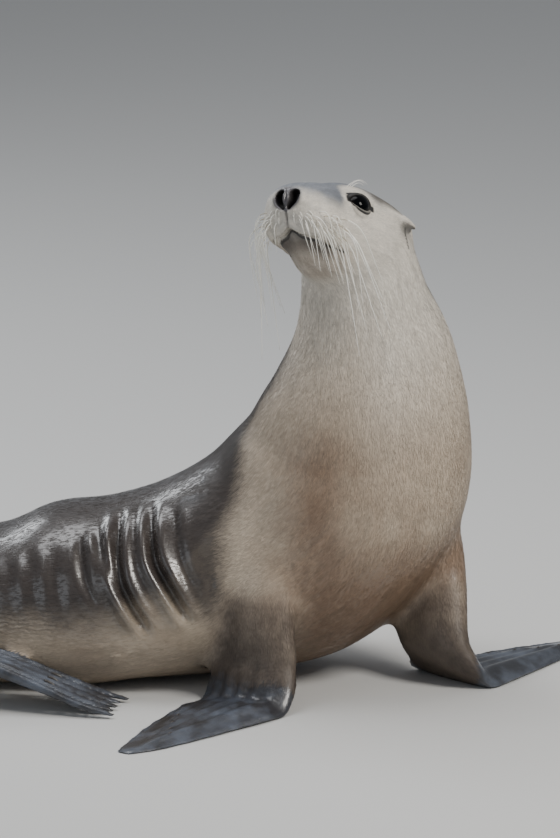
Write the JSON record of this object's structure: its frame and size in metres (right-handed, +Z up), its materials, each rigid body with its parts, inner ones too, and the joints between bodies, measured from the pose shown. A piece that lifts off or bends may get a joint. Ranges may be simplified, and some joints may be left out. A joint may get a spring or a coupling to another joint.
{
  "type": "australian sea lion, young female, life-size still model",
  "caption": "Life-size still model of a young female Australian sea lion, sitting up on its fore flippers with its head turned and raised.",
  "frame": {"origin": "on the floor under the centre of the bounding box", "axes": "+Z up; +X from the tail towards the breast along the trunk, which lies on the floor; the animal's right side faces -Y, and so does its face"},
  "size_m": [1.2078, 0.78, 0.7119],
  "materials": {
    "pale_fur": "short cream to silver fur, damp",
    "chest_fur": "short tan fur, wet and slightly shining",
    "back_fur": "short dark silver-brown fur, wet and satin",
    "limb_fur": "short grey-tan fur, damp",
    "flipper_skin": "bare wet blue-black skin",
    "eye": "wet, very dark brown"
  },
  "bodies": {
    "root": {"head": "pale_fur", "lower_jaw": "pale_fur", "neck": "pale_fur", "chest": "chest_fur", "trunk": "back_fur", "hips": "back_fur", "tail": "back_fur", "ear_right": "pale_fur", "ear_left": "pale_fur", "eye_right": "eye", "eye_left": "eye", "fore_limb_right": "limb_fur", "fore_limb_left": "limb_fur", "fore_flipper_right": "flipper_skin", "fore_flipper_left": "flipper_skin", "hind_limb_right": "back_fur", "hind_limb_left": "back_fur", "hind_flipper_right": "flipper_skin", "hind_flipper_left": "flipper_skin"}
  },
  "joints": []
}
